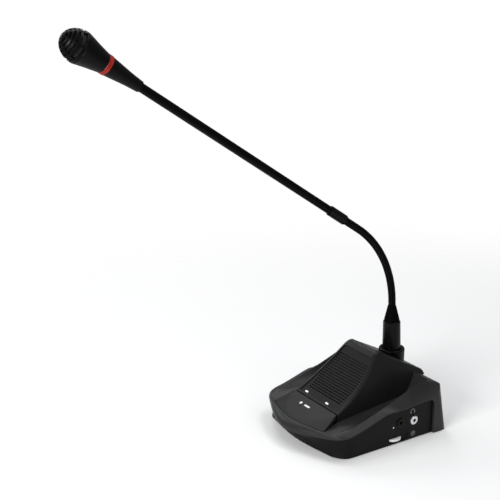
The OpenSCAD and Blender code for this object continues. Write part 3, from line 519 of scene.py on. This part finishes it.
# A finer piece on the CAD's shape: curved stretches shaded smooth, sharp edges rounded
def refine(name, width, settings):
    mesh = nodes[name].data.copy()
    mesh.name = name + "_fine"
    work = bmesh.new()
    work.from_mesh(mesh)
    bmesh.ops.remove_doubles(work, verts=work.verts, dist=settings["weld"])
    bmesh.ops.dissolve_limit(work, angle_limit=math.radians(settings["flat"]),
                             verts=work.verts, edges=work.edges)
    limit = math.radians(settings["rounded"])
    sharp = [e for e in work.edges if len(e.link_faces) == 2 and e.calc_face_angle(0) > limit]
    bmesh.ops.bevel(work, geom=sharp, offset=width, offset_type="OFFSET",
                    segments=settings["segments"], profile=0.5, affect="EDGES",
                    clamp_overlap=True, harden_normals=False)
    bmesh.ops.recalc_face_normals(work, faces=work.faces)
    work.to_mesh(mesh)
    work.free()
    mesh.polygons.foreach_set("use_smooth", [True] * len(mesh.polygons))
    mesh.set_sharp_from_angle(angle=math.radians(settings["sharp"]))
    piece = linkObject(name + "_fine", mesh)
    # Normals weighted by area keep the broad faces flat between the rounded edges
    weights = piece.modifiers.new("weights", "WEIGHTED_NORMAL")
    weights.keep_sharp = True
    bpy.context.view_layer.update()
    piece.data = bpy.data.meshes.new_from_object(
        piece.evaluated_get(bpy.context.evaluated_depsgraph_get()))
    piece.modifiers.clear()
    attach(piece, bodyOf[name])
    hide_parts(name)


for name, width in edgeSettings.items():
    refine(name, width, refineSettings)
print("scene: edges rounded on", len(edgeSettings), "pieces")

# Printed marks and a painted highlight beside the dark jack: thin films that lie on the moulded
# faces. Places are y and z on the side and x and y on top
markSettings = {
    "grey": (0.2, 0.2, 0.205),
    "white": (0.8, 0.8, 0.8),
    "film": 0.00004,
    "filled": 0.8,
    "weld": 0.000002,
    "line": 0.0006,
    "phonePlace": (-0.0245, 0.0305),
    "phoneRadius": 0.0024,
    "padDrop": 0.35,
    "padLength": 1.05,
    "padWidth": 1.9,
    "ringPlace": (-0.0228, 0.0058),
    "ringRadius": 0.0024,
    "ringDot": 0.0009,
    # The white dot beside the dark jack is a painted highlight, a glint on the jack's contact
    "jackGlintPlace": (-0.0488, 0.0188),
    "jackGlintRadius": 0.0008,
    "talkPlace": (-0.005, -0.108),
    "talkDot": 0.0017,
    "talkBar": (0.0085, 0.0022),
}
castFrom = 0.1  # rays for the marks start this far from the origin, clear of the faces


# A ring, or its part from 0 to last degrees, as an outline and the cells between its two edges
def ringMark(centre, radius, line, last=360.0, steps=28):
    outline = []
    for r, order in ((radius + line / 2, 1), (radius - line / 2, -1)):
        for step in range(steps + 1)[::order]:
            angle = math.radians(last * step / steps)
            outline.append((centre[0] + r * math.cos(angle), centre[1] + r * math.sin(angle)))
    count = len(outline)
    return outline, [(i, i + 1, count - 2 - i, count - 1 - i) for i in range(steps)]


# A bar with round ends, as an outline and its single cell
def barMark(centre, length, width, steps=10):
    outline = []
    for side in (1, -1):
        for step in range(steps + 1):
            angle = math.radians(-90 + 180 * step / steps) + (0 if side > 0 else math.pi)
            outline.append((centre[0] + side * (length - width) / 2 + width / 2 * math.cos(angle),
                            centre[1] + width / 2 * math.sin(angle)))
    return outline, [tuple(range(len(outline)))]


def discMark(centre, radius):
    return barMark(centre, 2 * radius, 2 * radius)


def onSide(u, v):
    return Vector((castFrom, u, v))


def onTop(u, v):
    return Vector((u, v, castFrom))


# A number that grows with the lowest three corners of an edge or face
def cornerRank(part, count):
    rank = 0
    for index in sorted(v.index for v in part.verts)[:3]:
        rank = rank * count + index
    return rank


# A new piece, shaded smooth, or welded and thickened where it is a film
def meshPiece(name, points, faces, shader, film=0.0, weld=0.0):
    mesh = bpy.data.meshes.new(name)
    mesh.from_pydata([tuple(p) for p in points], [], faces)
    work = bmesh.new()
    work.from_mesh(mesh)
    if film:
        bmesh.ops.remove_doubles(work, verts=work.verts, dist=weld)
    bmesh.ops.recalc_face_normals(work, faces=work.faces)
    if film:
        bmesh.ops.solidify(work, geom=work.faces[:], thickness=film)
        bmesh.ops.recalc_face_normals(work, faces=work.faces)
        # Solidify stores its parts in another order each run, so they are sorted
        work.verts.index_update()
        for parts in (work.edges, work.faces):
            parts.sort(key=lambda part: cornerRank(part, len(work.verts)))
    work.to_mesh(mesh)
    work.free()
    if not film:
        mesh.polygons.foreach_set("use_smooth", [True] * len(mesh.polygons))
    mesh.materials.append(shader.material)
    return linkObject(name, mesh)


# The outlines are laid on the face of a CAD node along the direction aim
def printAndGlintMark(name, shapes, shader, settings, face, body, place, aim):
    held = nodes[face]
    ground = BVHTree.FromPolygons([held.matrix_world @ v.co for v in held.data.vertices],
                                  [tuple(f.vertices) for f in held.data.polygons])
    points, faces = [], []
    for outline, cells in shapes:
        base = len(points)
        for spot in outline:
            point = ground.ray_cast(place(*spot), aim)[0]
            points.append(point - aim * settings["film"])
        faces += [tuple(base + i for i in cell) for cell in cells]
    piece = meshPiece(name, points, faces, shader, settings["film"] * settings["filled"],
                      settings["weld"])
    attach(piece, body)


inkSettings = {
    "rough": 0.4,
    "roughByWear": 0.2,
    "wear": 2600.0,
    "wearSpan": (0.3, 0.6),
    "wearTones": (0.7, 1.0),
    "bump": 0.2,
    "depth": 1e-5,
}


def printAndGlintInk(name, colour, settings):
    made = Shader(name, colour, settings["rough"])
    worn = made.noise(settings["wear"], detail=3.0, rough=0.6)
    made.colour(made.shades(worn.step(*settings["wearSpan"]), colour, settings["wearTones"]))
    made.rough(worn * settings["roughByWear"] + settings["rough"])
    made.bump(worn, settings["bump"], settings["depth"])
    return made


def placeMarks(settings):
    grey = printAndGlintInk("greyInk", settings["grey"], inkSettings)
    white = printAndGlintInk("whiteInkAndGlint", settings["white"], inkSettings)
    side = dict(face="lower_housing", body="base", place=onSide, aim=Vector((-1, 0, 0)))
    top = dict(face="talk_plate", body="talk_plate", place=onTop, aim=Vector((0, 0, -1)))
    line = settings["line"]
    u, v = settings["phonePlace"]
    r = settings["phoneRadius"]
    phone = [ringMark((u, v), r, line, last=180)]
    for s in (-1, 1):
        # The pads stand upright: bars made with u and v exchanged
        outline, cells = barMark((v - settings["padDrop"] * r, u + s * r),
                                 settings["padLength"] * r, settings["padWidth"] * line)
        phone.append(([(b, a) for a, b in outline], cells))
    printAndGlintMark("phone_mark", phone, grey, settings, **side)
    ring = [ringMark(settings["ringPlace"], settings["ringRadius"], line),
            discMark(settings["ringPlace"], settings["ringDot"])]
    printAndGlintMark("ring_mark", ring, grey, settings, **side)
    # White dot beside the dark jack: a painted highlight that stands in for a glint on the jack
    jackGlint = [discMark(settings["jackGlintPlace"], settings["jackGlintRadius"])]
    printAndGlintMark("painted_jack_glint", jackGlint, white, settings, **side)
    u, v = settings["talkPlace"]
    length, width = settings["talkBar"]
    talk = [discMark((u - length / 2 - settings["talkDot"], v), settings["talkDot"]),
            barMark((u + length / 2, v), length, width)]
    printAndGlintMark("talk_mark", talk, white, settings, **top)


bpy.context.view_layer.update()
placeMarks(markSettings)
print("scene: marks printed")

# Bendable neck: a wound wire over a core, cut into pieces that each stretch across one hinge
neckSettings = {
    "radius": 0.0039,
    "wire": 0.00052,
    "turn": 0.00104,
    "lead": 0.003,
    "plugLean": math.radians(2.2),
    "bendRadius": 0.1083,
    "bendAngle": math.radians(54.1),
    "tail": 0.0204,
    "around": 26,
    "section": 8,
    "coreGap": 0.0001,
    "coreRings": 17,
    "coreSides": 24,
}
neckHinges = sorted((j for j in frame["joints"] if j["name"].startswith("neck_")),
                    key=lambda j: j["pos_m"][2])


# Point and forward lean of the neck's middle line at a distance from the boot's top
def neckPath(distance, settings):
    radius, angle, start = settings["bendRadius"], settings["bendAngle"], settings["plugLean"]
    along = distance - settings["lead"]
    turn = min(max(along, 0.0) / radius, angle)
    straight = along if along < 0 else max(0.0, along - radius * angle)
    lean = start + turn
    point = Vector(neckHinges[0]["pos_m"]) + radius * Vector(
        (0, math.cos(lean) - math.cos(start), math.sin(lean) - math.sin(start)))
    return point + straight * Vector((0, -math.sin(lean), math.cos(lean))), lean


# Point of the middle line with the directions to the side, to the front and along it
def neckFrame(distance, settings):
    point, lean = neckPath(distance, settings)
    front = Vector((0, math.cos(lean), math.sin(lean)))
    up = Vector((0, -math.sin(lean), math.cos(lean)))
    return point, Vector((1, 0, 0)), front, up


# Closed tube over rings of count points each: its walls and its two end caps
def tubeFaces(rings, count, start=0):
    faces = []
    for ring in range(rings - 1):
        for i in range(count):
            a = start + ring * count + i
            b = start + ring * count + (i + 1) % count
            faces.append((a, b, b + count, a + count))
    faces.append(tuple(range(start, start + count)))
    faces.append(tuple(range(start + (rings - 1) * count, start + rings * count)))
    return faces


def coilPoints(low, high, settings):
    turnLength, around, section = settings["turn"], settings["around"], settings["section"]
    wire = settings["wire"]
    middle = settings["radius"] - wire
    first = math.floor(low / turnLength * around)
    last = math.ceil(high / turnLength * around)
    points = []
    for step in range(first, last + 1):
        distance = min(max(step * turnLength / around, low), high)
        turn = 2 * math.pi * distance / turnLength
        point, side, front, up = neckFrame(distance, settings)
        out = math.cos(turn) * side + math.sin(turn) * front
        for k in range(section):
            angle = 2 * math.pi * k / section
            points.append(point + (middle + wire * math.cos(angle)) * out
                          + wire * math.sin(angle) * up)
    return points, last - first + 1


def corePoints(low, high, settings):
    radius = settings["radius"] - settings["wire"] - settings["coreGap"]
    rings, sides = settings["coreRings"], settings["coreSides"]
    points = []
    for ring in range(rings):
        distance = low + (high - low) * ring / (rings - 1)
        point, side, front = neckFrame(distance, settings)[:3]
        for k in range(sides):
            turn = 2 * math.pi * k / sides
            points.append(point + radius * (math.cos(turn) * side + math.sin(turn) * front))
    return points


def windNeck(settings):
    arc = settings["bendRadius"] * settings["bendAngle"]
    # All hinges but the last stand evenly on the arc, and the last one pitch past its end
    pitch = arc / (len(neckHinges) - 2)
    spots = [settings["lead"] + pitch * i for i in range(len(neckHinges))]
    total = settings["lead"] + arc + settings["tail"]
    cuts = [0.0] + [(a + b) / 2 for a, b in zip(spots, spots[1:])] + [total]
    reach = 0.5 * pitch
    pieces = []
    for index, hinge in enumerate(neckHinges):
        low, high = cuts[index], cuts[index + 1]
        coil, rings = coilPoints(low, high, settings)
        core = corePoints(low, high, settings)
        faces = tubeFaces(rings, settings["section"])
        faces += tubeFaces(settings["coreRings"], settings["coreSides"], len(coil))
        piece = meshPiece("neck_coil_%d" % (index + 1), coil + core, faces, dressing["neck"])
        start = neckPath(spots[index] - min(reach, spots[index]), settings)[0]
        end = neckPath(spots[index] + reach, settings)[0]
        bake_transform(piece)
        pieces.append(piece)
    for index in range(len(pieces) - 1):
        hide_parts("neck_link_%d" % (index + 1))
    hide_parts("neck_start")
    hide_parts("neck_end")
    print("scene: neck wound in", len(pieces), "pieces")


windNeck(neckSettings)

# The floor's paper fades out into the plain backdrop between two distances from the origin
stageSettings = {
    "floor": (0.93, 0.93, 0.93),
    "floorTones": (0.99, 1.0),
    "floorClouds": 3.0,
    "floorRough": 0.9,
    "floorSize": 3.0,
    "floorDrop": 0.0002,
    "fadeFrom": 0.22,
    "fadeTo": 0.8,
    "backdrop": (1.0, 1.0, 1.0),
    "soft": (0.9, 0.92, 0.95),
    "softStrength": 0.28,
}


def makeFloor(settings):
    mesh = bpy.data.meshes.new("floor")
    far = settings["floorSize"]
    mesh.from_pydata([(-far, -far, 0), (far, -far, 0), (far, far, 0), (-far, far, 0)], [],
                     [(0, 1, 2, 3)])
    floor = linkObject("floor", mesh)
    floor.location.z = -settings["floorDrop"]
    made = Shader("floorPaper", settings["floor"], settings["floorRough"])
    made.colour(made.shades(made.noise(settings["floorClouds"]), settings["floor"],
                            settings["floorTones"]))
    x, y = made.axes()[:2]
    reach = (x * x + y * y).power(0.5).step(settings["fadeFrom"], settings["fadeTo"])
    clear = made.node("ShaderNodeBsdfTransparent")
    fade = made.node("ShaderNodeMixShader", None,
                     {0: reach, 1: Sock(made, made.surface.outputs[0]), 2: clear})
    made.plug(made.tree.nodes["Material Output"].inputs["Surface"], fade)
    floor.data.materials.append(made.material)


# The camera sees the backdrop, and all other rays meet the dimmer soft light
def makeWorld(settings):
    world = bpy.data.worlds.new("studio")
    bpy.context.scene.world = world
    world.use_nodes = True
    graph = Graph(world.node_tree)
    graph.tree.nodes.clear()
    seen = graph.node("ShaderNodeLightPath", output="Is Camera Ray")
    soft = graph.node("ShaderNodeBackground", None, {
        "Color": settings["soft"], "Strength": settings["softStrength"]})
    shown = graph.node("ShaderNodeBackground", None, {"Color": settings["backdrop"]})
    mix = graph.node("ShaderNodeMixShader", None, {0: seen, 1: soft, 2: shown})
    graph.node("ShaderNodeOutputWorld", None, {"Surface": mix})
    bpy.context.scene.view_settings.view_transform = "Standard"


# Area lamps: places in metres, width and height in metres, power in watts
lampSettings = {
    "frontLamp": dict(place=(0.5, -1.5, 0.7), aim=(0, -0.1, 0.1), size=(0.8, 0.6), power=22.0),
    "leftLamp": dict(place=(-1.4, -0.4, 0.8), aim=(0, -0.1, 0.1), size=(0.8, 0.6), power=4.0),
    "backLamp": dict(place=(-1.1, 0.4, 1.0), aim=(0, -0.1, 0.05), size=(0.35, 0.35), power=1.8),
    "topLamp": dict(place=(0.1, 0.5, 1.5), aim=(0, -0.1, 0.1), size=(0.9, 0.5), power=6.0),
    "overLamp": dict(place=(-0.6, -0.1, 1.4), aim=(0, -0.1, 0.1), size=(0.7, 0.7), power=4.0),
    "sideLamp": dict(place=(1.5, 0.2, 0.9), aim=(0, -0.05, 0.1), size=(0.7, 0.9), power=3.0),
}


def areaLight(name, place, aim, size, power):
    data = bpy.data.lights.new(name, "AREA")
    data.shape = "RECTANGLE"
    data.size, data.size_y = size
    data.energy = power
    lamp = linkObject(name, data)
    lamp.location = place
    lamp.rotation_euler = (Vector(aim) - Vector(place)).to_track_quat("-Z", "Y").to_euler()


makeFloor(stageSettings)
makeWorld(stageSettings)
for name, values in lampSettings.items():
    areaLight(name, **values)
print("scene: stage and lamps placed")
